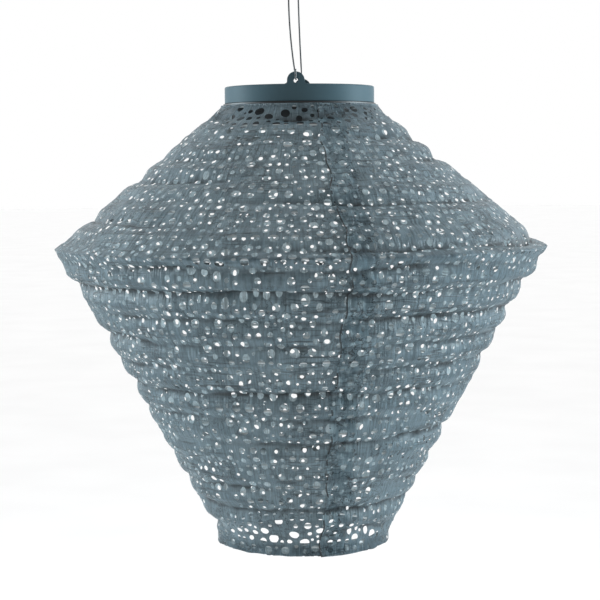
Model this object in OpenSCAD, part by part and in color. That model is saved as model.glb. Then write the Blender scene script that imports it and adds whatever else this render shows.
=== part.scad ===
// Hanging solar lantern: a perforated accordion shade on wire hoops under a
// round cap that holds a solar panel, a battery cell and a lamp.
// The origin is the middle of the eye that hooks on the hanging point, with +Z
// up, so everything else is below it. The lugs of the cap are on the Y axis.

/* [Cap] */
// Diameter of the cap
cap_d = 110; // [108:0.5:114]
// Height of the cap
cap_h = 12; // [11.5:0.5:14]
// Depth of the housing below the cap's edge
housing_depth = 17; // [17:0.5:20]
// Outer diameter of the housing
housing_d = 100; // [99:0.5:101]
// Width of the square solar cell
panel_w = 57; // [50:1:58]

/* [Hanging wire] */
// Height of the eye's middle above the pins
hang_h = 150; // [120:5:300]
// Thickness of the hanging wire
wire_d = 1.2; // [1:0.1:1.4]
// Sideways bow of the near leg
near_bow = 6; // [1:0.5:8]
// Sideways bow of the far leg
far_bow = 1.5; // [1:0.5:8]

/* [Shade] */
// Outer radius of the shade at the top ring
top_r = 58; // [58:0.5:59]
// Outer radius at the widest hoop
equator_r = 181; // [170:1:190]
// Outer radius at the second hoop of the equator
equator_low_r = 172.5; // [165:1:175]
// Outer radius at the bottom ring
bottom_r = 64; // [64:0.5:70]
// Number of hoops between the top ring and the equator
upper_hoops = 6; // [5:1:7]
// Number of hoops between the equator and the bottom ring
lower_hoops = 10; // [9:1:11]
// Distance between the hoops of the upper cone
upper_pitch = 14.6; // [14:0.1:15]
// Height of the band between the two hoops of the equator
equator_pitch = 18; // [15:0.5:20]
// Distance between the hoops of the lower cone
lower_pitch = 17.7; // [17:0.1:19]
// How far a band sinks in between two hoops
valley = 3.2; // [1:0.1:4]

/* [Wires of the shade] */
// Thickness of a hoop's wire
hoop_d = 1.6; // [1.2:0.1:2]
// Thickness of the wire of the top and bottom rings
ring_d = 2.4; // [2:0.1:2.6]
// Thickness of the expander's wire
expander_d = 3; // [2.5:0.1:3]

/* [Hidden] */
$fn = 96;
hoop_count = upper_hoops + lower_hoops + 2;
function hoop_name(i) = str("hoop_", i < 10 ? "0" : "", i);

// Colours
blue_grey = [0.44, 0.55, 0.61];
fabric_blue = [0.36, 0.45, 0.50];
steel = [0.62, 0.63, 0.64];
dark_plastic = [0.13, 0.14, 0.15];

// Heights of the cap
pin_z = -hang_h;
pin_r = wire_d / 2;
lug_hole_r = 1.6;
slip = 0.05;
hole_z = pin_z - (lug_hole_r - pin_r - slip);
lug_hole_rise = 2.15;
cap_top_z = hole_z - lug_hole_rise;
edge_z = cap_top_z - cap_h;

// Eye of the hanging wire, the turns that hold its legs together, and the bent-up ends outside the lugs
eye_r = 6.6;
wrap_r = 1.6;
wrap_h = 6;
wrap_overlap = 0.6;
end_rise = 6.5;
end_clear = 0.4;
leg_clear = 0.5;

// Cap
cap_r = cap_d / 2;
cap_wall = 2;
cap_plate = 3;
cap_in_r = cap_r - cap_wall;
cap_edge_r = 1.2;
plate_z = cap_top_z - cap_plate;
lug_t = 3;
lug_base_w = 16;
lug_w = 12.4;
lug_h = 8.4;
lug_corner_r = 6;
lug_in_y = cap_r - lug_t;

// Solar cell and its window
gap = 0.2;
window_w = panel_w + 4;
window_t = 1.4;
window_seat = 1.5;
solar_t = 1.5;
window_low_z = cap_top_z - window_seat;
solar_top_z = window_low_z - slip;

// Housing
housing_r = housing_d / 2;
housing_wall = 2;
housing_in_r = housing_r - housing_wall;
floor_t = 2;
floor_low_z = edge_z - housing_depth;
floor_z = floor_low_z + floor_t;
gasket_t = 1.5;
flange_t = 2;
flange_r = cap_in_r - gap;
flange_top_z = plate_z - gasket_t;
screw_circle_r = 42;
screw_angles = [0, 90, 180, 270];
boss_r = 3.6;
boss_split_z = edge_z - 4;
screw_r = 1.25;
screw_hole_r = 1.6;
screw_head_r = 2.7;
screw_head_h = 1.2;
screw_grip = 7;
sink = 0.5;

// Battery cell, its bay, contacts and door
cell_r = 7.25;
cell_len = 49.2;
cell_pin_len = 1.3;
cell_pin_r = 2.6;
cell_y = -23;
cell_z = floor_z + cell_r + 0.6;
cell_x0 = -cell_len / 2 + 1.5;
contact_t = 0.6;
contact_w = 10;
contact_x = cell_x0 + cell_len + cell_pin_len;
spring_turns = 2.5;
spring_r = 4;
spring_wire = 0.8;
spring_len = 4;
spring_plate_x = cell_x0 - spring_len - contact_t;
bay_wall = 1.2;
bay_h = 9;
bay_w = 2 * cell_r + 1;
bay_x0 = spring_plate_x - slip;
bay_x1 = contact_x + contact_t + slip;
door_w = 14;
door_x0 = bay_x0 + 1;
door_x1 = bay_x1 - 1;
door_gap = 0.3;
door_lip = 1.2;
door_lip_t = 1;

// Circuit board, lamp and switch
board_x = 26;
board_y0 = -9;
board_y1 = 36;
board_t = 1.6;
board_z = floor_z + 5;
post_r = 2;
post_inset = 3;
lens_r = 7.9;
lens_hole_r = 8;
lens_flange_r = 10;
lens_flange_t = 1.2;
lens_drop = 3.5;
led_w = 5;
led_t = 1.6;
switch_y = 27;
switch_w = 12;
switch_depth = 6;
switch_travel = 4;
knob_w = 3;
knob_reach = 2;
knob_root = 1.2;
lead_x = 4;
lead_y = 18;
lead_r = 0.6;

// Levels of the shade. Level 0 is the top ring, then come the hoops, and the last one is the bottom ring.
fabric_t = 0.4;
hoop_clear = 0.5;
wire_clear = 0.3;
top_ring_z = edge_z - 3;
equator_level = upper_hoops + 1;
last_level = hoop_count + 1;
top_hoop_r = 76;
// The band below the equator turns in at once, so the first lower hoop is narrower than a straight line
// from the equator to the bottom ring would make it.
first_low_r = 160;
equator_low_z = top_ring_z - equator_level * upper_pitch - equator_pitch;
function level_z(i) =
    i <= equator_level ? top_ring_z - i * upper_pitch :
    equator_low_z - (i - equator_level - 1) * lower_pitch;
function level_r(i) =
    i == 0 ? top_r :
    i <= equator_level ? top_hoop_r + (equator_r - top_hoop_r) * (i - 1) / (equator_level - 1) :
    i == equator_level + 1 ? equator_low_r :
    first_low_r + (bottom_r - first_low_r) * (i - equator_level - 2) / (last_level - equator_level - 2);

// A wire stays clear of the fabric that slopes past it, so it is set in further where the slope is flatter.
function slope_above(i) = abs(level_r(i) - level_r(i - 1)) / (level_z(i - 1) - level_z(i));
function wire_inset(i, d) =
    fabric_t + (hoop_clear + d / 2) * sqrt(1 + pow(max(slope_above(i), slope_above(i + 1)), 2));
top_ring_r = top_r - fabric_t - wire_clear - ring_d / 2;
bottom_ring_z = level_z(last_level);
bottom_ring_r = bottom_r - fabric_t - wire_clear - ring_d / 2;
function hoop_r(i) = level_r(i) - wire_inset(i, hoop_d);

// Outer radius of the fabric a share t of the way from level i to the next one. Each band is round at its
// hoops and folds sharply midway between them.
function band_r(i, t) =
    level_r(i) * (1 - t) + level_r(i + 1) * t - valley * (1 - abs(cos(180 * t)));
function band_z(i, t) = level_z(i) * (1 - t) + level_z(i + 1) * t;
band_steps = 6;
hem_drop = 6.5;
skin_top_z = edge_z - 0.9;
skin_low_z = bottom_ring_z - hem_drop;
skin_outer = concat(
    [[top_r, skin_top_z]],
    [for (i = [0:last_level - 1]) for (k = [0:band_steps - 1])
        [band_r(i, k / band_steps), band_z(i, k / band_steps)]],
    [[bottom_r, bottom_ring_z], [bottom_r, skin_low_z]]
);
skin_points = len(skin_outer);

// Collar
collar_in_r = housing_r + 0.1;
collar_top_z = edge_z - 0.5;
collar_low_z = edge_z - 6;
groove_clear = 0.05;

// Expander: two legs with a loop at each top end, which bears on the collar, and a cross bar
expander_r = expander_d / 2;
loop_z = collar_low_z - wire_clear - expander_r;
loop_x = 54;
loop_y = 4.5;
bar_z = floor_low_z - lens_drop - 5.5;
bar_x = 46;
hook_z = bottom_ring_z - ring_d / 2 - wire_clear - expander_r;
hook_x = bottom_r - fabric_t - 0.4 - expander_r;
foot_x = bottom_ring_r - ring_d / 2 - 0.6 - expander_r;

module wire_between(a, b, r) {
    v = b - a;
    len = norm(v);
    translate(a)
        rotate([0, acos(v[2] / len), atan2(v[1], v[0])])
            cylinder(h = len, r = r);
}

// A wire along straight stretches. The ball at each bend is slightly larger, so that the surfaces cross
// cleanly.
module bent_wire(points, r) {
    for (i = [0:len(points) - 2])
        wire_between(points[i], points[i + 1], r);
    for (p = points)
        translate(p)
            sphere(1.04 * r, $fn = 32);
}

// A closed ring of round wire about the Z axis.
module wire_ring(r, z, d) {
    translate([0, 0, z])
        rotate_extrude()
            translate([r, 0])
                circle(d = d, $fn = 24);
}

// An arc of wire from a to b that bows sideways, towards -X.
module bowed_wire(a, b, bow, r) {
    chord = norm(b - a);
    arc_r = (chord * chord / 4 + bow * bow) / (2 * bow);
    half_angle = asin(chord / 2 / arc_r);
    up = (b - a) / chord;
    side = [1, 0, 0];
    out = cross(side, up);
    mid = (a + b) / 2;
    centre = mid + side * (arc_r - bow);
    multmatrix([
        [-side[0], up[0], -out[0], centre[0]],
        [-side[1], up[1], -out[1], centre[1]],
        [-side[2], up[2], -out[2], centre[2]],
        [0, 0, 0, 1]
    ])
        rotate([0, 0, -half_angle])
            rotate_extrude(angle = 2 * half_angle)
                translate([arc_r, 0])
                    circle(r, $fn = 24);
}

// Two legs that hook through the lugs from inside, with their ends bent up outside, and wrapped together
// under an eye.
module hanging_wire() {
    leg_y = lug_in_y - leg_clear - pin_r;
    end_y = cap_r + end_clear + pin_r;
    wrap_low_z = -eye_r - wrap_h;
    color(steel) {
        rotate([0, 90, 0])
            rotate_extrude()
                translate([eye_r, 0])
                    circle(r = pin_r, $fn = 24);
        translate([0, 0, wrap_low_z])
            cylinder(h = wrap_h, r = wrap_r);
        for (side = [-1, 1]) {
            bowed_wire([0, side * leg_y, pin_z], [0, side * (pin_r + slip), wrap_low_z + wrap_overlap],
                       side < 0 ? near_bow : far_bow, pin_r);
            bent_wire([
                [0, side * leg_y, pin_z],
                [0, side * end_y, pin_z],
                [0, side * end_y, pin_z + end_rise]
            ], pin_r);
        }
    }
}

// The outline of a lug, with a hollow foot on each side and a round top.
module lug_outline() {
    foot = (lug_base_w - lug_w) / 2;
    difference() {
        translate([-lug_base_w / 2, -cap_edge_r])
            square([lug_base_w, foot + cap_edge_r]);
        for (side = [-1, 1])
            translate([side * lug_base_w / 2, foot])
                circle(foot);
    }
    translate([-lug_w / 2, 0])
        square([lug_w, lug_h - lug_corner_r]);
    translate([-lug_w / 2 + lug_corner_r, 0])
        square([lug_w - 2 * lug_corner_r, lug_h]);
    for (side = [-1, 1])
        translate([side * (lug_w / 2 - lug_corner_r), lug_h - lug_corner_r])
            circle(lug_corner_r);
}

module lug(side) {
    intersection() {
        translate([0, side * (lug_in_y + lug_t), cap_top_z])
            rotate([90, 0, 0])
                linear_extrude(2 * lug_t, center = true)
                    lug_outline();
        translate([0, 0, cap_top_z - cap_edge_r])
            cylinder(h = cap_edge_r + lug_h, r = cap_r);
    }
}

// The cap's outer form: a disc with a rounded upper edge.
module cap_blank() {
    rotate_extrude() {
        translate([0, edge_z])
            square([cap_r, cap_h - cap_edge_r]);
        translate([0, edge_z])
            square([cap_r - cap_edge_r, cap_h]);
        translate([cap_r - cap_edge_r, cap_top_z - cap_edge_r])
            circle(cap_edge_r);
    }
}

module at_screws() {
    for (a = screw_angles)
        rotate([0, 0, a])
            translate([screw_circle_r, 0, 0])
                children();
}

module cap_shell() {
    color(blue_grey)
    difference() {
        union() {
            difference() {
                cap_blank();
                translate([0, 0, edge_z - 1])
                    cylinder(h = plate_z - edge_z + 1, r = cap_in_r);
            }
            at_screws()
                translate([0, 0, boss_split_z])
                    cylinder(h = plate_z - boss_split_z + sink, r = boss_r);
            for (side = [-1, 1])
                lug(side);
        }
        translate([0, 0, hole_z])
            rotate([90, 0, 0])
                cylinder(h = cap_d + 2, r = lug_hole_r, center = true);
        translate([0, 0, cap_top_z])
            cube([window_w + 2 * gap, window_w + 2 * gap, 2 * window_seat], center = true);
        translate([0, 0, plate_z])
            cube([panel_w + 2 * gap, panel_w + 2 * gap, 3 * cap_plate], center = true);
        at_screws()
            translate([0, 0, boss_split_z - 1])
                cylinder(h = screw_grip + 2, r = screw_r + slip);
    }
}

module panel_window() {
    color([0.75, 0.82, 0.86, 0.5])
    translate([0, 0, window_low_z + window_t / 2])
        cube([window_w, window_w, window_t], center = true);
}

module solar_cell() {
    color([0.07, 0.09, 0.2])
    translate([0, 0, solar_top_z - solar_t / 2])
        cube([panel_w, panel_w, solar_t], center = true);
}

module cap_gasket() {
    color(dark_plastic)
    rotate_extrude()
        translate([housing_in_r, flange_top_z])
            square([flange_r - housing_in_r, gasket_t]);
}

module battery_bay() {
    for (side = [-1, 1])
        translate([bay_x0 - bay_wall, cell_y + side * (bay_w + bay_wall) / 2 - bay_wall / 2, floor_z - sink])
            cube([bay_x1 - bay_x0 + 2 * bay_wall, bay_wall, bay_h + sink]);
    for (x = [bay_x0 - bay_wall, bay_x1])
        translate([x, cell_y - bay_w / 2 - bay_wall, floor_z - sink])
            cube([bay_wall, bay_w + 2 * bay_wall, bay_h + sink]);
}

module lower_housing() {
    color(blue_grey)
    difference() {
        union() {
            rotate_extrude() {
                translate([0, floor_low_z])
                    square([housing_r, floor_t]);
                translate([housing_in_r, floor_low_z])
                    square([housing_wall, flange_top_z - floor_low_z]);
                translate([housing_in_r, flange_top_z - flange_t])
                    square([flange_r - housing_in_r, flange_t]);
            }
            battery_bay();
            at_screws()
                translate([0, 0, floor_z - sink])
                    cylinder(h = boss_split_z - 0.1 - floor_z + sink, r = boss_r);
            for (x = [-1, 1])
                for (y = [board_y0 + post_inset, board_y1 - post_inset])
                    translate([x * (board_x - post_inset), y, floor_z - sink])
                        cylinder(h = board_z - floor_z + sink, r = post_r);
        }
        at_screws() {
            translate([0, 0, floor_low_z - 1])
                cylinder(h = boss_split_z - floor_low_z + 2, r = screw_hole_r);
            translate([0, 0, floor_low_z - 1])
                cylinder(h = screw_head_h + 1.1, r = screw_head_r + gap);
        }
        translate([door_x0 - door_gap, cell_y - door_w / 2 - door_gap, floor_low_z - 1])
            cube([door_x1 - door_x0 + 2 * door_gap, door_w + 2 * door_gap, floor_t + 2]);
        translate([0, 0, floor_low_z - 1])
            cylinder(h = floor_t + 2, r = lens_hole_r);
        translate([0, switch_y, floor_low_z])
            cube([knob_w + switch_travel + 1, knob_w + 1, 3 * floor_t], center = true);
    }
}

module housing_screws() {
    color(steel)
    at_screws()
        difference() {
            union() {
                translate([0, 0, floor_low_z + 0.1])
                    cylinder(h = screw_head_h, r = screw_head_r);
                translate([0, 0, floor_low_z + 0.1])
                    cylinder(h = boss_split_z + screw_grip - floor_low_z, r = screw_r);
            }
            for (a = [0, 90])
                rotate([0, 0, a])
                    translate([0, 0, floor_low_z])
                        cube([3.2, 0.7, 1.4], center = true);
        }
}

module circuit_board() {
    color([0.08, 0.32, 0.16])
    translate([-board_x, board_y0, board_z])
        cube([2 * board_x, board_y1 - board_y0, board_t]);
}

module led() {
    color([0.95, 0.85, 0.35])
    translate([0, 0, board_z - led_t / 2])
        cube([led_w, led_w, led_t], center = true);
}

module led_lens() {
    dome_r = (lens_r * lens_r + lens_drop * lens_drop) / (2 * lens_drop);
    color([0.9, 0.93, 0.95, 0.5]) {
        translate([0, 0, floor_z])
            cylinder(h = lens_flange_t, r = lens_flange_r);
        translate([0, 0, floor_low_z])
            cylinder(h = floor_t, r = lens_r);
        intersection() {
            translate([0, 0, floor_low_z - lens_drop + dome_r])
                sphere(dome_r);
            translate([0, 0, floor_low_z - lens_drop])
                cylinder(h = lens_drop, r = lens_r);
        }
    }
}

module battery_cell() {
    color([0.25, 0.5, 0.3])
    translate([cell_x0, cell_y, cell_z])
        rotate([0, 90, 0]) {
            cylinder(h = cell_len, r = cell_r);
            cylinder(h = cell_len + cell_pin_len, r = cell_pin_r);
        }
}

module battery_spring() {
    turn_steps = 12;
    steps = spring_turns * turn_steps;
    inset = spring_wire / 2;
    points = [for (k = [0:steps])
        [spring_plate_x + contact_t + inset + (spring_len - spring_wire) * k / steps,
         cell_y + spring_r * cos(360 * k / turn_steps),
         cell_z + spring_r * sin(360 * k / turn_steps)]];
    sides = 8;
    rings = [for (k = [0:steps]) let (
        p = points[k],
        out = [0, cos(360 * k / turn_steps), sin(360 * k / turn_steps)])
        [for (j = [0:sides - 1])
            p + inset * (out * cos(360 * j / sides) + [1, 0, 0] * sin(360 * j / sides))]];
    color(steel)
    polyhedron(
        points = [for (ring = rings) for (p = ring) p],
        faces = concat(
            [for (j = [1:sides - 2]) [0, j, j + 1]],
            [for (k = [0:steps - 1]) for (j = [0:sides - 1])
                let (a = k * sides, n = (j + 1) % sides)
                each [[a + j, a + sides + j, a + sides + n], [a + j, a + sides + n, a + n]]],
            [for (j = [1:sides - 2]) [steps * sides, steps * sides + j + 1, steps * sides + j]]
        )
    );
}

module battery_contact() {
    color(steel)
    for (x = [spring_plate_x, contact_x])
        translate([x, cell_y - contact_w / 2, floor_z + 0.3])
            cube([contact_t, contact_w, bay_h + 3]);
}

module battery_door() {
    color(blue_grey) {
        translate([door_x0, cell_y - door_w / 2, floor_low_z - gap])
            cube([door_x1 - door_x0, door_w, floor_t + gap]);
        translate([door_x0 - door_lip, cell_y - door_w / 2 - door_lip, floor_low_z - gap - door_lip_t])
            cube([door_x1 - door_x0 + 2 * door_lip, door_w + 2 * door_lip, door_lip_t]);
        for (x = [-2, 0, 2])
            translate([x - 0.4, cell_y - door_w / 4, floor_low_z - gap - 2 * door_lip_t])
                cube([0.8, door_w / 2, door_lip_t]);
    }
}

module switch_body() {
    color(dark_plastic)
    difference() {
        translate([-switch_w / 2, switch_y - switch_depth / 2, floor_z])
            cube([switch_w, switch_depth, board_z - floor_z]);
        translate([0, switch_y, floor_z])
            cube([knob_w + switch_travel + 1, knob_w + 1, 2 * (knob_root + 0.5)], center = true);
    }
}

module switch_knob() {
    color([0.8, 0.8, 0.8])
    translate([-switch_travel / 2 - knob_w / 2, switch_y - knob_w / 2, floor_low_z - knob_reach])
        cube([knob_w, knob_w, knob_reach + floor_t + knob_root]);
}

module panel_leads() {
    color([0.6, 0.12, 0.1])
    for (x = [-lead_x, lead_x])
        translate([x, lead_y, board_z + board_t])
            cylinder(h = solar_top_z - solar_t - board_z - board_t, r = lead_r);
}

module shade_collar() {
    color(dark_plastic)
    difference() {
        rotate_extrude()
            translate([collar_in_r, collar_low_z])
                square([top_ring_r - collar_in_r, collar_top_z - collar_low_z]);
        wire_ring(top_ring_r, top_ring_z, ring_d + 2 * groove_clear);
    }
}

module top_ring() {
    color(steel)
    wire_ring(top_ring_r, top_ring_z, ring_d);
}

module hoop(i) {
    color(steel)
    wire_ring(hoop_r(i), level_z(i), hoop_d);
}

module bottom_ring() {
    color(steel)
    wire_ring(bottom_ring_r, bottom_ring_z, ring_d);
}

module expander() {
    function mirrored(p) = [-p[0], p[1], p[2]];
    half = [
        [hook_x, 0, hook_z],
        [foot_x, 0, hook_z],
        [loop_x, 0, loop_z],
        [loop_x, loop_y, loop_z],
        [loop_x - 1, loop_y, floor_low_z - 3],
        [bar_x, loop_y, bar_z]
    ];
    last = len(half) - 1;
    color(steel)
    bent_wire(concat(half, [for (k = [last:-1:0]) mirrored(half[k])]), expander_r);
}

module shade_skin() {
    color(fabric_blue)
    rotate_extrude()
        polygon(concat(
            skin_outer,
            [for (k = [skin_points - 1:-1:0]) skin_outer[k] - [fabric_t, 0]]
        ));
}

hanging_wire();
cap_shell();
panel_window();
solar_cell();
cap_gasket();
lower_housing();
housing_screws();
circuit_board();
led();
led_lens();
battery_cell();
battery_spring();
battery_contact();
battery_door();
switch_body();
switch_knob();
panel_leads();
shade_collar();
top_ring();
for (i = [1:hoop_count])
    hoop(i);
bottom_ring();
expander();
shade_skin();
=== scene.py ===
"""Looks of a hanging solar lantern: a perforated accordion shade on wire hoops under a round cap.

Everything is in metres, in the frame of the CAD model. The shade's sheet is cut and punched flat, then laid
over the hoops, so its places come from the hoops of the frame.
"""

import math

import bpy
import numpy as np
from mathutils import Matrix, Vector, noise
from mathutils.geometry import delaunay_2d_cdt


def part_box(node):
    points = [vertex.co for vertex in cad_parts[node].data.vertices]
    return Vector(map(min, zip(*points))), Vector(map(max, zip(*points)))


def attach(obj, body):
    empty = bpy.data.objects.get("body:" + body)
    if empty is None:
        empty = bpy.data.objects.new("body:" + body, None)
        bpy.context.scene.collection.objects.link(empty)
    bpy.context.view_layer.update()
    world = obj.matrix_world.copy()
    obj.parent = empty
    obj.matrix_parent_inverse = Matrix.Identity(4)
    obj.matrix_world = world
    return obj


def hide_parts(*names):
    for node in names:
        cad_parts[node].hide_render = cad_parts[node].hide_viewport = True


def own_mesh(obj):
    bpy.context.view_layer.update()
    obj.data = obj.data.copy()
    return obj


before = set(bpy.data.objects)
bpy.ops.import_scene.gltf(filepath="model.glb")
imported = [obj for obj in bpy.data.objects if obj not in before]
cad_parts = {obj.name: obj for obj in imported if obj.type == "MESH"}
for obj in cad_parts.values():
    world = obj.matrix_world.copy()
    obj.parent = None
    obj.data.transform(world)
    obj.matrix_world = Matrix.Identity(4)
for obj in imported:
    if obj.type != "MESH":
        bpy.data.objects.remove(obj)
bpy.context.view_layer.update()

MM = 0.001
FULL_TURN = 2 * math.pi
NEAR_TURN = 6.28  # a full turn, near enough for random phases and for gathers
rng = np.random.default_rng(20)

# ---------------------------------------------------------------- the frame's sizes

HOOPS = sorted(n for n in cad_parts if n.startswith("hoop_"))
RINGS = ["top_ring", *HOOPS, "bottom_ring"]
skin_low, skin_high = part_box("shade_skin")
cap_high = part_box("cap_shell")[1]


def middle_z(node):
    low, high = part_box(node)
    return (low.z + high.z) / 2


def skin_radius(z):
    """Outer radius of the CAD skin at height z."""
    reach = 0.4 * MM
    points = np.array([v.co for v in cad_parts["shade_skin"].data.vertices])
    near = points[np.abs(points[:, 2] - z) < reach]
    return float(np.hypot(near[:, 0], near[:, 1]).max())


# Level 0 is the sheet's top edge, and then come the rings. The last three levels are the lower edge, the turn
# just above it, and the end of the hem, which is turned up inside the bottom ring.
TOP_GAP = 0.8 * MM
HEM_RISE = 0.2 * MM
HEM_TURN = 1.0 * MM
HEM_INSET = 3.4 * MM
HEM_UP = 9 * MM
ring_z = [middle_z(n) for n in RINGS]
ring_r = [skin_radius(z) for z in ring_z]
hem_z = [skin_low.z, skin_low.z + HEM_RISE, skin_low.z + HEM_UP]
hem_r = [ring_r[-1], ring_r[-1] - HEM_TURN, ring_r[-1] - HEM_INSET]
LEVEL_Z = np.array([skin_high.z - TOP_GAP, *ring_z, *hem_z])
LEVEL_R = np.array([ring_r[0], *ring_r, *hem_r])
LAST = len(LEVEL_Z) - 1
HEM_EDGE = LAST - 2

# ---------------------------------------------------------------- the sheet's shape

SEAM_ANGLE = math.radians(12.6)
OVERLAP = 19 * MM
# The outer layer stands off the inner one at the lap and slopes back beyond it, and its free edge curls.
LAP_RISE = 0.7 * MM
LAP_SLOPE = 16 * MM
CURL_RISE = 1.3 * MM
CURL_REACH = 2.6 * MM
CURL_LENGTH = 9 * MM

# Folds: their usual depth, and how their depth varies round the shade, as shares of that.
FOLD_DEPTH = 3.0 * MM
FOLD_MEAN = 0.9
FOLD_SWING = 0.75
FOLD_LEAST = 0.08
FOLD_MOST = 2.1
FOLD_WAVES = [(turns, rng.uniform(0, NEAR_TURN), 1 / (1 + 0.3 * turns)) for turns in (1, 2, 3, 5, 8, 13)]
# Bands with a depth of their own: how many times the usual depth, the direction in degrees on which they
# sink in most, and how one-sided they are.
UNEVEN_FOLDS = {
    2: (0.8, 120, 0.4), 3: (0.9, 60, 0.4), 4: (1.0, -60, 0.4), 5: (0.9, 100, 0.4), 6: (0.9, -100, 0.4),
    7: (1.2, 45, 0.4), 8: (1.3, 60, 0.45), 9: (2.5, -40, 0.1), 11: (1.5, 0, 0.4), 12: (1.4, 10, 0.4),
    14: (1.4, -90, 0.3), 16: (1.2, 150, 0.4),
}
# How far up and down the line where a fold turns wanders, as shares of its band.
TURN_WANDER = 0.17
TURN_RIPPLE = 0.05

# Relief: the size of each kind of unevenness, and how far it stands out or sinks in.
PLEATS_ROUND = 108
GATHER_PATCH = 60 * MM
ALONG_BANDS = [0.13, 0.13, 1.0]
GROOVE_SPACING = 5.5 * MM
GROOVE_DEPTH = 0.55 * MM
CREASE_SPACING = 2.6 * MM
CREASE_HEIGHT = 0.22 * MM
BIG_FACETS = 24 * MM
BIG_FACET_HEIGHT = 1.3 * MM
SMALL_FACETS = 8.5 * MM
SMALL_FACET_HEIGHT = 0.75 * MM
DENT_AT_HOOPS = 0.2 * MM
DENT_IN_FOLDS = 1.2 * MM
EDGE_WAVE = 1.2 * MM


def noise_at(points, scale, offset=0.0):
    """Smooth noise between -1 and 1 at points given as an array of n by 3.

    The offset only shifts the noise, so that no two uses of it look alike.
    """
    return np.array([noise.noise(p) for p in (points / scale + offset).tolist()])


def facets_at(points, scale, offset=0.0):
    """Crumple facets: 0 along the creases, up to about 1 in the middle of the flats between them."""
    bent = points / scale + offset
    bent = bent + 0.25 * np.stack([noise_at(bent, 0.6, shift) for shift in (1.7, 5.1, 9.4)], 1)
    nearest = [noise.voronoi(p)[0] for p in bent.tolist()]
    return np.array([two[1] - two[0] for two in nearest])


def on_circle(angle):
    """The unit circle's points at each angle, for noise that closes on itself round the shade."""
    return np.stack([np.cos(angle), np.sin(angle), 0 * angle], 1)


def in_space(angle, radius, height):
    """Points round the axis. Angle 0 is at the front, and angles grow towards the right."""
    return np.stack([radius * np.sin(angle), -radius * np.cos(angle), height], 1)


def fold_depth(band, angle):
    """How deep each band sinks between its two hoops, which differs from place to place."""
    wave = sum(size * np.sin(turns * angle + phase + 2.4 * band * (k + 1))
               for k, (turns, phase, size) in enumerate(FOLD_WAVES))
    factor = np.ones(LAST)
    uneven = np.zeros(LAST)
    towards = np.zeros(LAST)
    for number, (size, degrees, one_sided) in UNEVEN_FOLDS.items():
        factor[number] = size
        uneven[number] = one_sided
        towards[number] = math.radians(degrees)
    facing = 1 - uneven[band] * (1 - np.cos(angle - towards[band]))
    calm = 1 / np.maximum(factor[band], 1)
    share = np.clip(FOLD_MEAN + FOLD_SWING * calm * wave, FOLD_LEAST, FOLD_MOST)
    return share * factor[band] * facing * FOLD_DEPTH


def fold_share(angle, level):
    """Where each point is in its fold.

    Gives its band, its share of the way down the band, that share with the fold's turn at a half, and whether
    the band folds at all.
    """
    band = np.clip(np.floor(level), 0, LAST - 1).astype(int)
    share = level - band
    turned = on_circle(angle)
    wander = TURN_WANDER * noise_at(turned * 2.6 + band[:, None] * 3.7, 1.0)
    wander = wander + TURN_RIPPLE * noise_at(turned * 11 + band[:, None], 1.0)
    turn = 0.5 + wander
    evened = np.where(share < turn, 0.5 * share / turn, 1 - 0.5 * (1 - share) / (1 - turn))
    folded = (band >= 1) & (band < HEM_EDGE - 1)
    return band, share, evened, folded


def on_cone(level):
    """Radius and height on the straight lines between the hoops."""
    index = np.arange(LAST + 1)
    return np.interp(level, index, LEVEL_R), np.interp(level, index, LEVEL_Z)


def gathers_at(smooth, turned, level, share, from_edge):
    """The gathers that run down the sheet, strongest between the hoops and beside the seam."""
    beside_seam = np.exp(-(((from_edge - 0.45 * OVERLAP) / (0.6 * OVERLAP)) ** 2))
    place = turned * (PLEATS_ROUND / NEAR_TURN)
    place[:, 2] = 0.42 * level
    gathers = noise_at(place, 1.0, 31.7) + 0.5 * noise_at(place, 0.45, 8.2)
    patch = np.clip(noise_at(smooth, GATHER_PATCH, 3.1) + 0.35, 0, 1)
    between_hoops = 0.25 + 0.75 * np.sin(math.pi * share) ** 0.7
    return gathers * ((0.3 + 0.9 * patch + 0.6 * beside_seam) * MM * between_hoops)


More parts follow.
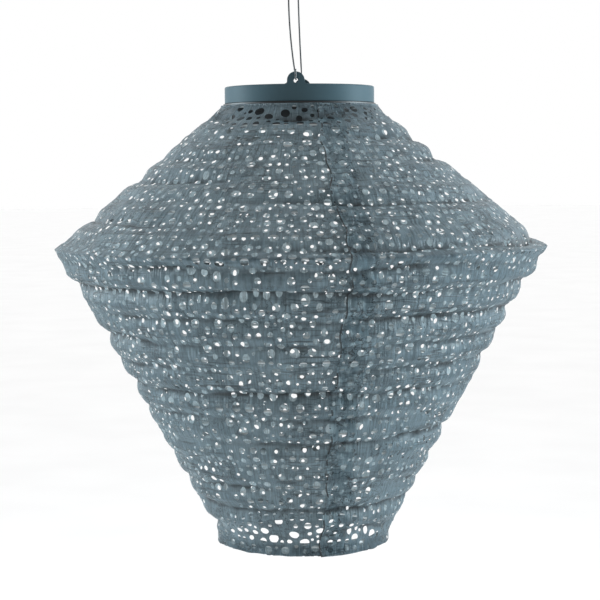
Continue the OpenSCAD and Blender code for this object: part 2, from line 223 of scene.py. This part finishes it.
def sheet_points(angle, level, from_edge, lift):
    """Where points of the sheet lie, from their angle round the axis and their level down the shade."""
    band, share, evened, folded = fold_share(angle, level)
    radius, height = on_cone(level)
    step_r = (LEVEL_R[1:] - LEVEL_R[:-1])[band]
    step_z = (LEVEL_Z[:-1] - LEVEL_Z[1:])[band]
    width = np.hypot(step_r, step_z)
    turned = on_circle(angle)
    smooth = in_space(angle, radius, height)

    # the fold between two hoops: rounded over the hoops, sharp where it turns, and wandering up and down
    fold = np.where(folded, 1 - np.abs(np.cos(math.pi * evened)), 0)

    # long creases along the bands, and crumpled facets all over
    crease_place = smooth * ALONG_BANDS
    crease = noise_at(crease_place, CREASE_SPACING, 12.9)
    groove = np.clip(1 - 3.2 * np.abs(noise_at(crease_place, GROOVE_SPACING, 40.3)), 0, 1)
    big_facets = facets_at(smooth, BIG_FACETS, 5.5)
    small_facets = facets_at(smooth, SMALL_FACETS, 2.2)

    grooves = np.where(folded, GROOVE_DEPTH * groove * np.sin(math.pi * share), 0)
    inward = fold_depth(band, angle) * fold + grooves
    outward = gathers_at(smooth, turned, level, share, from_edge)
    outward = outward + CREASE_HEIGHT * crease + BIG_FACET_HEIGHT * (big_facets - 0.25)
    outward = outward + SMALL_FACET_HEIGHT * (small_facets - 0.3)
    held = np.where(folded, 0.35 + 0.65 * np.sin(math.pi * share), 0.3)
    outward = np.maximum(outward * held, -DENT_AT_HOOPS - DENT_IN_FOLDS * fold) + lift

    # the sheet moves square to the straight line between its hoops, and its lower edge waves up and down
    move = outward - inward
    radius = radius + move * (step_z / width)
    edge_wave = noise_at(turned * 3.1, 1.0, 6.6) + 0.5 * noise_at(turned * 9, 1.0, 2.8)
    edge_share = np.clip(level - (HEM_EDGE - 1), 0, 1)
    height = height + move * (step_r / width) + EDGE_WAVE * edge_wave * edge_share
    return in_space(angle, radius, height)


# ---------------------------------------------------------------- the flat sheet

# Running length down the sheet, and the conformal coordinate that keeps circles round in the flat pattern.
FINE_STEPS = 24
fine_level = np.linspace(0, LAST, LAST * FINE_STEPS + 1)
fine_r, fine_z = on_cone(fine_level)
fine_run = np.concatenate([[0], np.cumsum(np.hypot(np.diff(fine_r), np.diff(fine_z)))])
fine_flat = np.concatenate([[0], np.cumsum(np.diff(fine_run) / ((fine_r[1:] + fine_r[:-1]) / 2))])
SHEET_RUN = float(fine_run[-1])
HEM_EDGE_RUN = float(np.interp(HEM_EDGE, fine_level, fine_run))


def run_of(level):
    return np.interp(level, fine_level, fine_run)


def level_of(run):
    return np.interp(run, fine_run, fine_level)


def radius_of(run):
    return np.interp(run, fine_run, fine_r)


def flat_of(run):
    return np.interp(run, fine_run, fine_flat)


# The waves of the sheet's edge at the seam: height in mm, length in m divided by 2 pi, and phase.
SEAM_WAVES = [(1.0, 0.0093, 0), (0.9, 0.0041, 1), (1.5, 0.031, 2)]


def seam_edge(run):
    """Angle of the sheet's outer edge at the seam, which wavers a little."""
    wander = sum(height * np.sin(run / length + phase) for height, length, phase in SEAM_WAVES)
    return SEAM_ANGLE + wander * MM / radius_of(run)


# Holes: the radii in mm that are tried in turn, and how often each is tried.
HOLE_SIZES = [3.45, 3.05, 2.65, 2.3, 1.95, 1.62, 1.32, 1.05]
HOLE_TRIES = [3600, 5200, 8000, 12000, 16000, 20000, 24000, 18000]
# The least fabric between a hole and a cut edge, and between two holes besides half the smaller one's radius.
HOLE_EDGE = 1.1 * MM
HOLE_GAP = 0.95 * MM
# The direction in which the largest holes are, the distance between rows of holes, and the share in rows.
BIG_HOLES_AT = math.radians(-5)
HOLE_ROWS = 7.4 * MM
IN_ROWS = 0.4
# Zones differ in how large their holes may be, in mm. Where a hole is smaller than a share of that, more than
# half are left out.
ZONE = 30 * MM
ZONE_LEAST = 1.3
ZONE_SPREAD = 2.4
SMALL_SHARE = 0.4
SMALL_KEPT = 0.45
# Blank patches: their size, and the noise above which a place is blank, which is less at the sides.
BLANK = 19 * MM
BLANK_ABOVE = 0.4
BLANK_SIDES = 0.16
# Holes up to these radii are cut with so many corners, and larger ones with MOST_CORNERS. How much they are
# stretched, and how far each corner is off.
HOLE_CORNERS = [(1.35 * MM, 7), (2.2 * MM, 9)]
MOST_CORNERS = 12
HOLE_STRETCH = (0.9, 1.1)
HOLE_ROUGHNESS = (0.97, 1.03)
# The cells in which holes are kept, and the slots in the hem for the expander's hooks.
CELL = 9 * MM
HOOK_SLOT = 10 * MM

# The sheet's other points belong to no hole: how far apart they are, how far from a hole, how far each is
# moved out of its row and, as a share of the spacing, along it, how many a cut edge has, and the rows in a band.
NO_HOLE = -1
POINT_SPACING = 2.35 * MM
POINT_CLEAR = 0.7 * MM
POINT_WANDER = 0.4 * MM
POINT_SHIFT = 0.3
EDGE_POINTS = 300
FOLDED_ROWS = 10
PLAIN_ROWS = 4


class Holes:
    """The holes of the flat sheet, kept in cells so that near ones are found quickly."""

    def __init__(self):
        self.rows = []
        self.cells = {}

    def cell(self, angle, run):
        row = int(run / CELL)
        return row, int(angle * float(radius_of((row + 0.5) * CELL)) / CELL)

    def near(self, angle, run):
        row = int(run / CELL)
        for other in (row - 1, row, row + 1):
            column = self.cell(angle, (other + 0.5) * CELL)[1]
            for c in (column - 1, column, column + 1):
                yield from self.cells.get((other, c), ())

    def add(self, angle, run, size):
        self.rows.append((angle, run, size))
        self.cells.setdefault(self.cell(angle, run), []).append((angle, run, size))

    def clear(self, angle, run, size, gap):
        r = float(radius_of(run))
        return all(
            math.hypot((a - angle) * r, s - run) >= size + other + gap
            for a, s, other in self.near(angle, run)
        )


def is_wanted(angle, run, r, size, p_keep):
    """Whether a hole of this size belongs here: some zones have small holes, and some patches none."""
    place = Vector((r * math.sin(angle), -r * math.cos(angle), run))
    zone = 0.42 + 0.26 * math.cos(angle - BIG_HOLES_AT) + 0.8 * noise.noise(place / ZONE)
    largest = (ZONE_LEAST + ZONE_SPREAD * min(max(zone, 0), 1)) * MM
    if size > largest or (size < SMALL_SHARE * largest and p_keep > SMALL_KEPT):
        return False
    blank_above = BLANK_ABOVE - BLANK_SIDES * abs(math.sin(angle))
    return noise.noise(place / BLANK + Vector((9, 4, 2))) <= blank_above


def punch(holes, share_round, run, size, p_keep):
    """Punches one hole where there is room, and its twin where the lap puts a second layer."""
    r = float(radius_of(run))
    start = float(seam_edge(run))
    border = size + HOLE_EDGE
    angle = start + share_round * (FULL_TURN + OVERLAP / r)
    if run < border or run > HEM_EDGE_RUN - border:
        return
    if (angle - start) * r < border or (start + FULL_TURN - angle) * r + OVERLAP < border:
        return
    gap = HOLE_GAP + 0.5 * size
    if not is_wanted(angle, run, r, size, p_keep) or not holes.clear(angle, run, size, gap):
        return
    holes.add(angle, run, size)
    twin = angle + FULL_TURN
    if (twin - start - FULL_TURN) * r < OVERLAP - border and holes.clear(twin, run, size, gap):
        holes.add(twin, run, size)


def punch_holes():
    """Large holes first, then smaller ones between them."""
    holes = Holes()
    sample_run = np.linspace(0, SHEET_RUN, 400)
    share = np.cumsum(radius_of(sample_run))
    share = share / share[-1]
    for size_mm, tries in zip(HOLE_SIZES, HOLE_TRIES):
        picks = rng.random((tries, 5))
        runs = np.interp(picks[:, 0], share, sample_run)
        in_row = (np.round(runs / HOLE_ROWS) + 0.16 * (picks[:, 4] - 0.5)) * HOLE_ROWS
        runs = np.where(picks[:, 3] < IN_ROWS, in_row, runs)
        for (_, p_angle, p_keep, _, p_size), run in zip(picks.tolist(), runs.tolist()):
            size = size_mm * (0.9 + 0.2 * p_size) * MM
            punch(holes, p_angle, run, size, p_keep)
    return holes


def hole_outlines(holes):
    """Points round each hole as angle, run and the hole's number. No hole is quite round."""
    points = []
    for index, (angle, run, size) in enumerate(holes.rows):
        r = float(radius_of(run))
        count = next((corners for limit, corners in HOLE_CORNERS if size < limit), MOST_CORNERS)
        turn = rng.uniform(0, NEAR_TURN)
        stretch = rng.uniform(*HOLE_STRETCH)
        for k in range(count):
            a = turn + FULL_TURN * k / count
            reach = size * rng.uniform(*HOLE_ROUGHNESS)
            across = reach * stretch * math.cos(a) / r
            points.append((angle + across, run + reach / stretch * math.sin(a), index))
    return points


def cut_edges():
    """Points along the two cut edges at the seam."""
    runs = np.linspace(0, SHEET_RUN, EDGE_POINTS)
    span = FULL_TURN + OVERLAP / radius_of(runs)
    points = []
    for side in (0, 1):
        angles = (seam_edge(runs) + side * span).tolist()
        points += [(angle, run, NO_HOLE) for angle, run in zip(angles, runs.tolist())]
    return points


def row_points(holes, run, wander):
    """A row of points across the sheet, clear of the holes."""
    r = float(radius_of(run))
    start = float(seam_edge(run))
    span = FULL_TURN + OVERLAP / r
    count = int(span * r / POINT_SPACING)
    offsets = rng.uniform(-1, 1, (count, 2))
    points = []
    for k in range(1, count):
        angle = start + span * (k + POINT_SHIFT * offsets[k, 0]) / count
        moved = min(max(run + wander * offsets[k, 1], 0), SHEET_RUN)
        if holes.clear(angle, moved, POINT_CLEAR, 0):
            points.append((angle, moved, NO_HOLE))
    return points


def steps_in(band):
    """How many rows of points a band has: most where it folds, and one at the hem's turn."""
    if 0 < band < HEM_EDGE - 1:
        return FOLDED_ROWS
    return 1 if band == HEM_EDGE else PLAIN_ROWS


def inner_points(holes):
    """Rows of points along the hoops, along the folds and between them."""
    points = []
    for band in range(LAST):
        steps = steps_in(band)
        for step in range(steps):
            share = step / steps
            points += row_points(holes, float(run_of(band + share)), POINT_WANDER if step else 0)
    return points + row_points(holes, float(run_of(LAST)), 0)


def is_fabric(faces, angles, runs, owner):
    """Marks the triangles to keep: not inside a hole, past a cut edge or in a slot for a hook."""
    corner = owner[faces]
    in_hole = (corner[:, 0] >= 0) & (corner[:, 0] == corner[:, 1]) & (corner[:, 0] == corner[:, 2])
    run = runs[faces].mean(1)
    angle = angles[faces].mean(1)
    radius = radius_of(run)
    past_start = (angle - seam_edge(run)) * radius
    past_edge = (past_start < 0) | (past_start > FULL_TURN * radius + OVERLAP)
    in_slot = (np.abs(np.cos(angle)) * radius < HOOK_SLOT / 2) & (run > HEM_EDGE_RUN)
    return ~(in_hole | past_edge | in_slot)


def cut_sheet():
    """The punched flat sheet: angle, level and run of its points, and its triangles."""
    holes = punch_holes()
    points = np.array(hole_outlines(holes) + cut_edges() + inner_points(holes))
    angles, runs, owner = points[:, 0], points[:, 1], points[:, 2].astype(int)
    flat = np.stack([angles, flat_of(runs)], 1)
    _, _, faces, source, _, _ = delaunay_2d_cdt([Vector(p) for p in flat.tolist()], [], [], 0, 1e-9)
    faces = np.array(faces)
    kept = np.array([s[0] for s in source])
    angles, runs, owner = angles[kept], runs[kept], owner[kept]
    faces = faces[is_fabric(faces, angles, runs, owner)]
    print("holes", len(holes.rows), "points", len(angles), "triangles", len(faces))
    return angles, level_of(runs), runs, faces


def new_object(name, points, faces, smooth=True):
    mesh = bpy.data.meshes.new(name)
    mesh.from_pydata([tuple(p) for p in np.array(points).tolist()], [], faces)
    mesh.update()
    if smooth:
        mesh.polygons.foreach_set("use_smooth", [True] * len(mesh.polygons))
    obj = bpy.data.objects.new(name, mesh)
    bpy.context.scene.collection.objects.link(obj)
    return obj


def store(obj, name, values):
    """Stores one value per vertex for the material to read."""
    obj.data.attributes.new(name, "FLOAT", "POINT").data.foreach_set("value", values)


def lay_flat(obj, across, down):
    """Stores the flat place of each vertex as the object's texture coordinates, in metres."""
    layer = obj.data.uv_layers.new(name="flat")
    corner = np.empty(len(obj.data.loops), dtype=int)
    obj.data.loops.foreach_get("vertex_index", corner)
    layer.data.foreach_set("uv", np.stack([across[corner], down[corner]], 1).ravel())


def make_sheet():
    """The punched sheet laid over the hoops, its outer edge lapped over its inner edge."""
    angles, levels, runs, faces = cut_sheet()
    from_edge = (angles - seam_edge(runs)) * radius_of(runs)
    over = np.clip(1 - (from_edge - OVERLAP) / LAP_SLOPE, 0, 1)
    curl_place = np.stack([runs, 0 * runs, 0 * runs], 1)
    curl = np.clip(0.35 + 1.3 * noise_at(curl_place, CURL_LENGTH, 4.4), 0, 1)
    curl = curl * np.exp(-from_edge / CURL_REACH)
    points = sheet_points(angles, levels, from_edge, LAP_RISE * over + CURL_RISE * curl)
    obj = new_object("shade_sheet", points, faces.tolist())
    band, _, evened, folded = fold_share(angles, levels)
    depth = np.clip(fold_depth(band, angles) / FOLD_DEPTH, 0, 2)
    # painted shade: a dark line where each fold turns, darker in deeper folds
    at_turn = np.where(folded, np.exp(-(((evened - 0.5) / 0.08) ** 2)), 0)
    store(obj, "fold_turn_shade", at_turn * np.minimum(depth, 1.4))
    # painted shade: a broader darkening just above the turn of the deepest folds
    above_turn = np.where(folded, np.exp(-(((evened - 0.42) / 0.16) ** 2)), 0)
    store(obj, "deep_fold_shade", above_turn * np.clip(depth - 0.9, 0, 1))
    store(obj, "from_edge", from_edge / OVERLAP)
    lay_flat(obj, angles * float(LEVEL_R.mean()), runs)
    return obj


sheet = make_sheet()

# ---------------------------------------------------------------- materials


class Nodes:
    """A node tree with short calls for what the materials here need."""

    def __init__(self, name):
        self.material = bpy.data.materials.new(name)
        self.material.use_nodes = True
        self.tree = self.material.node_tree
        self.tree.nodes.clear()
        self.output = self.tree.nodes.new("ShaderNodeOutputMaterial")
        self.position = self.tree.nodes.new("ShaderNodeTexCoord").outputs["Object"]

    def new(self, kind, **settings):
        node = self.tree.nodes.new("ShaderNode" + kind)
        for key, value in settings.items():
            setattr(node, key, value)
        return node

    def link(self, source, target):
        self.tree.links.new(source, target)

    def attribute(self, name):
        return self.new("Attribute", attribute_name=name).outputs["Fac"]

    def noise(self, scale, detail=3, stretch=None, place=None):
        node = self.new("TexNoise")
        node.inputs["Scale"].default_value = scale
        node.inputs["Detail"].default_value = detail
        place = place or self.position
        if stretch:
            mapping = self.new("Mapping")
            mapping.inputs["Scale"].default_value = stretch
            self.link(place, mapping.inputs["Vector"])
            place = mapping.outputs["Vector"]
        self.link(place, node.inputs["Vector"])
        return node.outputs["Fac"]

    def math(self, operation, *values):
        node = self.new("Math", operation=operation)
        for value, target in zip(values, node.inputs):
            if isinstance(value, (int, float)):
                target.default_value = value
            else:
                self.link(value, target)
        return node.outputs["Value"]

    def ridge(self, source, width):
        """1 where the source is near its middle value, falling to 0 at width from it."""
        away = self.math("ABSOLUTE", self.math("SUBTRACT", source, 0.5))
        return self.math("MAXIMUM", self.math("SUBTRACT", 1.0, self.math("DIVIDE", away, width)), 0.0)

    def scaled(self, colour, by):
        node = self.new("VectorMath", operation="SCALE")
        self.link(colour, node.inputs[0])
        self.link(by, node.inputs["Scale"])
        return node.outputs["Vector"]

    def ramp(self, source, stops):
        node = self.new("ValToRGB")
        ramp = node.color_ramp
        while len(ramp.elements) < len(stops):
            ramp.elements.new(0.5)
        for element, (place, colour) in zip(ramp.elements, stops):
            element.position = place
            element.color = (*colour, 1)
        self.link(source, node.inputs["Fac"])
        return node.outputs["Color"]

    def bump(self, height, distance, strength=1.0):
        node = self.new("Bump")
        node.inputs["Distance"].default_value = distance
        node.inputs["Strength"].default_value = strength
        self.link(height, node.inputs["Height"])
        return node.outputs["Normal"]

    def principled(self, **values):
        node = self.new("BsdfPrincipled")
        for key, value in values.items():
            node.inputs[key.replace("_", " ")].default_value = value
        return node

    def finish(self, shader):
        self.link(shader, self.output.inputs["Surface"])
        return self.material


BLACK = (0, 0, 0)
WHITE = (1, 1, 1)
# Painted light: the lapped strip shines through brighter by this share, to make up for the light its lower layer
# stops.
LAP_PAINTED_GLOW = 1.0
# The share of the fabric's look that is light shining through it.
THROUGH = 0.4


def crumple_shade_lines(n, flat):
    """Painted crease shade, which also sinks in as bumps: cracks in patches, long creases in other patches, and
    a broken line where each fold turns.
    """
    patches = n.ramp(n.noise(24, 3), [(0.42, BLACK), (0.62, WHITE)])
    other_patches = n.ramp(n.noise(33, 3, (1, 1, 1.3)), [(0.45, BLACK), (0.6, WHITE)])
    cracks = n.math("MAXIMUM", n.ridge(n.noise(75, 3), 0.016), n.ridge(n.noise(170, 2), 0.022))
    long_creases = n.ridge(n.noise(1, 2, (16, 230, 1), flat), 0.035)
    lines = n.math("MULTIPLY", cracks, other_patches)
    lines = n.math("MAXIMUM", lines, n.math("MULTIPLY", long_creases, patches))
    # painted shade along each fold's turn, broken into pieces
    breaks = n.math("MULTIPLY_ADD", n.noise(1, 3, (60, 160, 1), flat), 3.4, -0.95)
    broken = n.math("MULTIPLY", n.attribute("fold_turn_shade"), breaks)
    return n.math("MAXIMUM", lines, n.math("MINIMUM", broken, 1.0))


def seam_shadow_lines(n, flat, from_edge):
    """Painted shadow: the dark broken line along the seam's edge. Painted crease shade: the cracks of the lapped
    strip.
    """
    from_middle = n.math("ABSOLUTE", n.math("SUBTRACT", from_edge, 0.5))
    strip = n.math("MAXIMUM", n.math("SUBTRACT", 1.0, from_middle), 0.0)
    # painted shadow along the seam's free edge, in broken pieces
    edge_shadow = n.math("LESS_THAN", from_edge, 0.06)
    edge_shadow = n.math("MULTIPLY", edge_shadow, n.math("GREATER_THAN", n.noise(1, 3, (20, 110, 1), flat), 0.47))
    cracks = n.math("MULTIPLY", n.ridge(n.noise(130, 3), 0.03), n.math("GREATER_THAN", strip, 0.35))
    cracks = n.math("MULTIPLY", cracks, n.math("GREATER_THAN", n.noise(90, 2), 0.5))
    return n.math("MAXIMUM", edge_shadow, cracks)


def painted_fabric_shade(n, lines, pleat_shade_streaks, seam_shadows):
    """How light each place is: painted shade on the crease lines and in deep folds, painted light and shade in
    streaks along the pleats, and a painted shadow at the seam.
    """
    # painted crease shade on the lines
    shade = n.math("MULTIPLY_ADD", lines, -0.7, 1.0)
    # painted light and shade in streaks along the pleats
    shade = n.math("MULTIPLY", shade, n.math("MULTIPLY_ADD", pleat_shade_streaks, 1.3, 0.35))
    # painted shade in the deep folds
    shade = n.math("MULTIPLY", shade, n.math("MULTIPLY_ADD", n.attribute("deep_fold_shade"), -0.5, 1.0))
    # painted shadow at the seam and painted shade on the lapped strip's cracks
    return n.math("MULTIPLY", shade, n.math("MULTIPLY_ADD", seam_shadows, -0.85, 1.0))


def fabric_normal(n, flat, lines, pleat_shade_streaks):
    """Fine fibres, gathers down the sheet, and lines that sink in."""
    height = n.math("MULTIPLY", n.noise(1300, 4), 0.08)
    height = n.math("MULTIPLY_ADD", n.noise(1, 3, (380, 30, 1), flat), 1.6, height)
    height = n.math("MULTIPLY_ADD", pleat_shade_streaks, 0.8, height)
    height = n.math("MULTIPLY_ADD", n.noise(330, 4), 0.9, height)
    height = n.math("MULTIPLY_ADD", lines, -0.35, height)
    return n.bump(height, 1 * MM, 0.95)


def fabric_material():
    """Crinkled nonwoven that shines a little on its surface and lets light through."""
    n = Nodes("nonwoven_fabric")
    flat = n.new("UVMap", uv_map="flat").outputs["UV"]
    from_edge = n.attribute("from_edge")
    lines = crumple_shade_lines(n, flat)
    # painted light and shade of fine pleats; the same streaks also stand out as bumps
    pleat_shade_streaks = n.noise(1, 2, (950, 70, 1), flat)
    shade = painted_fabric_shade(n, lines, pleat_shade_streaks, seam_shadow_lines(n, flat, from_edge))
    lap = n.math("MULTIPLY", n.math("LESS_THAN", from_edge, 1.0), n.math("GREATER_THAN", from_edge, 0.0))
    # painted light: the lapped strip's light through the fabric is painted brighter
    shade_through = n.math("MULTIPLY", shade, n.math("MULTIPLY_ADD", lap, LAP_PAINTED_GLOW, 1.0))

    blotches = n.noise(70, 5)
    colour = n.ramp(blotches, [(0.34, (0.026, 0.055, 0.074)), (0.66, (0.055, 0.103, 0.132))])
    glow = n.ramp(blotches, [(0.34, (0.29, 0.355, 0.375)), (0.66, (0.43, 0.49, 0.505))])
    normal = fabric_normal(n, flat, lines, pleat_shade_streaks)
    skin = n.principled(Roughness=0.4, Specular_IOR_Level=0.55)
    n.link(n.scaled(colour, shade), skin.inputs["Base Color"])
    n.link(normal, skin.inputs["Normal"])
    through = n.new("BsdfTranslucent")
    n.link(n.scaled(glow, shade_through), through.inputs["Color"])
    n.link(normal, through.inputs["Normal"])
    mix = n.new("MixShader")
    mix.inputs["Fac"].default_value = THROUGH
    n.link(skin.outputs["BSDF"], mix.inputs[1])
    n.link(through.outputs["BSDF"], mix.inputs[2])
    return n.finish(mix.outputs["Shader"])


def mottled(n, scale, detail, dark, light, darkest=0.35, lightest=0.65):
    """A colour that wavers between a dark and a light tone."""
    return n.ramp(n.noise(scale, detail), [(darkest, dark), (lightest, light)])


def plastic_material(name, colour, roughness, grain=1400, gloss=0.5):
    n = Nodes(name)
    darker = tuple(0.88 * c for c in colour)
    shader = n.principled(Roughness=roughness, Specular_IOR_Level=gloss)
    n.link(mottled(n, 30, 4, darker, colour), shader.inputs["Base Color"])
    n.link(n.bump(n.noise(grain, 2), 0.05 * MM, 0.35), shader.inputs["Normal"])
    return n.finish(shader.outputs["BSDF"])


def metal_material(name, colour, roughness):
    n = Nodes(name)
    darker = tuple(0.75 * c for c in colour)
    shader = n.principled(Metallic=1.0, Roughness=roughness)
    n.link(mottled(n, 160, 4, darker, colour), shader.inputs["Base Color"])
    n.link(n.bump(n.noise(2200, 2), 0.03 * MM, 0.3), shader.inputs["Normal"])
    return n.finish(shader.outputs["BSDF"])


def glass_material(name, colour, roughness, ior=1.49):
    n = Nodes(name)
    lighter = tuple(min(1, c * 1.05) for c in colour)
    shader = n.principled(Roughness=roughness, IOR=ior, Transmission_Weight=0.9)
    n.link(mottled(n, 25, 2, colour, lighter, 0.3, 0.7), shader.inputs["Base Color"])
    return n.finish(shader.outputs["BSDF"])


cap_plastic = plastic_material("cap_plastic", (0.054, 0.093, 0.112), 0.5, gloss=0.08)
black_plastic = plastic_material("black_plastic", (0.02, 0.022, 0.024), 0.5)
wire_steel = metal_material("wire_steel", (0.10, 0.10, 0.10), 0.45)
ring_steel = plastic_material("ring_coating", (0.42, 0.45, 0.46), 0.45)
bright_steel = metal_material("bright_steel", (0.62, 0.62, 0.60), 0.28)
clear = glass_material("clear_plastic", (0.93, 0.96, 0.97), 0.05)
panel_cover = glass_material("panel_cover", (0.55, 0.64, 0.75), 0.08, ior=1.15)
cell_blue = plastic_material("solar_blue", (0.012, 0.02, 0.06), 0.18, 300)
board_green = plastic_material("board_green", (0.01, 0.09, 0.035), 0.35, 500)
led_yellow = plastic_material("led_yellow", (0.75, 0.55, 0.08), 0.3)
battery_green = plastic_material("battery_green", (0.03, 0.16, 0.06), 0.3)
knob_grey = plastic_material("knob_grey", (0.55, 0.56, 0.57), 0.4)
lead_red = plastic_material("lead_red", (0.3, 0.02, 0.015), 0.45)

NODE_MATERIALS = {
    "cap_shell": cap_plastic,
    "lower_housing": black_plastic,
    "battery_door": black_plastic,
    "hanging_wire": wire_steel,
    "panel_window": panel_cover,
    "solar_cell": cell_blue,
    "cap_gasket": black_plastic,
    "housing_screws": bright_steel,
    "circuit_board": board_green,
    "led": led_yellow,
    "led_lens": clear,
    "battery_cell": battery_green,
    "battery_spring": bright_steel,
    "battery_contact": bright_steel,
    "switch_body": black_plastic,
    "switch_knob": knob_grey,
    "panel_leads": lead_red,
    "shade_collar": black_plastic,
    "top_ring": ring_steel,
    "bottom_ring": ring_steel,
    "expander": ring_steel,
}
for name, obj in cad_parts.items():
    material = ring_steel if name in HOOPS else NODE_MATERIALS.get(name)
    if material:
        obj.data.materials.clear()
        obj.data.materials.append(material)

# ---------------------------------------------------------------- what the sheet rides on and stands for

sheet.data.materials.append(fabric_material())
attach(sheet, "shade_top")
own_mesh(sheet)
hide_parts("shade_skin")

# ---------------------------------------------------------------- stage, light and camera

FLOOR_BELOW = 0.75
FLOOR_HALF = 40


def make_floor():
    """A plain pale floor, well below the hanging object."""
    z = skin_low.z - FLOOR_BELOW
    corners = [(-FLOOR_HALF, -FLOOR_HALF, z), (FLOOR_HALF, -FLOOR_HALF, z),
               (FLOOR_HALF, FLOOR_HALF, z), (-FLOOR_HALF, FLOOR_HALF, z)]
    floor = new_object("floor", corners, [(0, 1, 2, 3)], smooth=False)
    n = Nodes("pale_floor")
    shader = n.principled(Roughness=0.9)
    tone = mottled(n, 3, 2, (0.93, 0.93, 0.93), (0.96, 0.96, 0.96), 0.3, 0.7)
    n.link(tone, shader.inputs["Base Color"])
    floor.data.materials.append(n.finish(shader.outputs["BSDF"]))
    return floor


make_floor()

FRONT_GLOW = 0.2
BACK_GLOW = 1.8


def studio_world():
    """A white studio that glows more behind the object than in front, and looks plain white itself."""
    world = bpy.data.worlds.new("studio")
    world.use_nodes = True
    tree = world.node_tree
    tree.nodes.clear()
    output = tree.nodes.new("ShaderNodeOutputWorld")
    seen = tree.nodes.new("ShaderNodeBackground")
    seen.inputs["Color"].default_value = (1, 1, 1, 1)
    glow = tree.nodes.new("ShaderNodeBackground")
    glow.inputs["Color"].default_value = (1, 1, 1, 1)
    place = tree.nodes.new("ShaderNodeTexCoord")
    parts = tree.nodes.new("ShaderNodeSeparateXYZ")
    tree.links.new(place.outputs["Generated"], parts.inputs["Vector"])
    spread = tree.nodes.new("ShaderNodeMapRange")
    spread.inputs["From Min"].default_value = -1
    spread.inputs["To Min"].default_value = FRONT_GLOW
    spread.inputs["To Max"].default_value = BACK_GLOW
    tree.links.new(parts.outputs["Y"], spread.inputs["Value"])
    tree.links.new(spread.outputs["Result"], glow.inputs["Strength"])
    path = tree.nodes.new("ShaderNodeLightPath")
    mix = tree.nodes.new("ShaderNodeMixShader")
    tree.links.new(path.outputs["Is Camera Ray"], mix.inputs["Fac"])
    tree.links.new(glow.outputs["Background"], mix.inputs[1])
    tree.links.new(seen.outputs["Background"], mix.inputs[2])
    tree.links.new(mix.outputs["Shader"], output.inputs["Surface"])
    return world


bpy.context.scene.world = studio_world()

LIGHT_SIZE = 0.9
LIGHT_RISE = 0.3
LIGHT_COLOUR = (0.76, 0.92, 1.0)
middle = (0, 0, (skin_low.z + cap_high.z) / 2)


def soft_light(name, x, y, watts):
    """A round soft light beside the object, aimed at its middle."""
    light = bpy.data.lights.new(name, "AREA")
    light.shape = "DISK"
    light.size = LIGHT_SIZE
    light.energy = watts
    light.color = LIGHT_COLOUR
    obj = bpy.data.objects.new(name, light)
    bpy.context.scene.collection.objects.link(obj)
    place = (x, y, middle[2] + LIGHT_RISE)
    obj.location = place
    obj.rotation_euler = (Vector(middle) - Vector(place)).to_track_quat("-Z", "Y").to_euler()
    obj.visible_camera = False


soft_light("light_left", -1.7, 0.25, 37)
soft_light("light_right", 1.7, 0.15, 47)

CAMERA_AWAY = 1.267
CAMERA_LOWER = 44 * MM
CAMERA_SIDE = math.radians(2.6)
CAMERA_DOWN = math.radians(4.54)
CAMERA_ROLL = math.radians(-0.5)
CAMERA_TURN = math.radians(0.04)
CAMERA_LENS = 102.5
CAMERA_SENSOR = 36


def make_camera():
    """The photograph's viewpoint, a little to the right of the front."""
    data = bpy.data.cameras.new("camera")
    data.sensor_width = CAMERA_SENSOR
    data.lens = CAMERA_LENS
    camera = bpy.data.objects.new("camera", data)
    bpy.context.scene.collection.objects.link(camera)
    camera.location = (
        CAMERA_AWAY * math.sin(CAMERA_SIDE),
        -CAMERA_AWAY * math.cos(CAMERA_SIDE),
        skin_high.z - CAMERA_LOWER,
    )
    heading = CAMERA_SIDE + CAMERA_TURN
    look = Vector((-math.sin(heading), math.cos(heading), -math.tan(CAMERA_DOWN)))
    aim = look.to_track_quat("-Z", "Y").to_matrix().to_4x4()
    camera.matrix_world = Matrix.Translation(camera.location) @ aim @ Matrix.Rotation(CAMERA_ROLL, 4, "Z")
    return camera


bpy.context.scene.camera = make_camera()
bpy.context.scene.view_settings.view_transform = "Standard"
